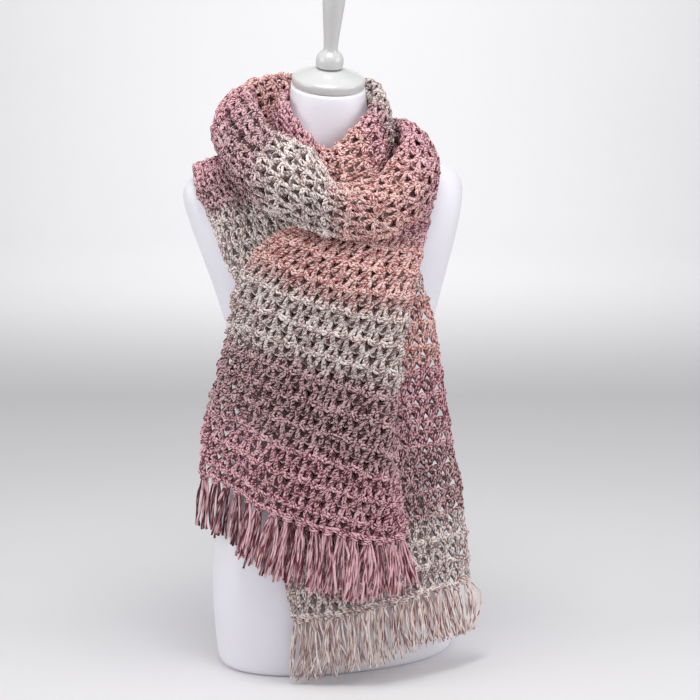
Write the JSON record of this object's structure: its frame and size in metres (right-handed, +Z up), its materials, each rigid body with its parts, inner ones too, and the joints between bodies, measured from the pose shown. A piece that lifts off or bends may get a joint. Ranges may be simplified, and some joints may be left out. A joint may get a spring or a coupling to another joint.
{
  "type": "crochet scarf on a limbless dress form",
  "caption": "Long striped crochet scarf with tasselled ends, wound twice round the neck of a smooth limbless dress form with a turned neck cap.",
  "frame": {"origin": "middle of the flat base of the dress form, on the surface that it stands on", "axes": "+Z up along the form, -Y towards its front, +X towards the right of a viewer who faces its front"},
  "size_m": [0.4025, 0.3293, 0.9326],
  "materials": {
    "yarn_rose": "marled wool-blend yarn, crocheted",
    "yarn_brown": "marled wool-blend yarn, crocheted",
    "yarn_salmon": "marled wool-blend yarn, crocheted",
    "yarn_beige": "marled wool-blend yarn, crocheted",
    "form_white": "satin",
    "cap_white": "gloss paint"
  },
  "bodies": {
    "root": {"tail_front": "yarn_rose", "tail_under": "yarn_brown", "loop_inner": "yarn_salmon", "loop_outer": "yarn_beige", "fringe_front": "yarn_rose", "fringe_under": "yarn_beige", "dress_form": "form_white", "neck_cap": "cap_white", "cap_post": "cap_white"}
  },
  "joints": []
}
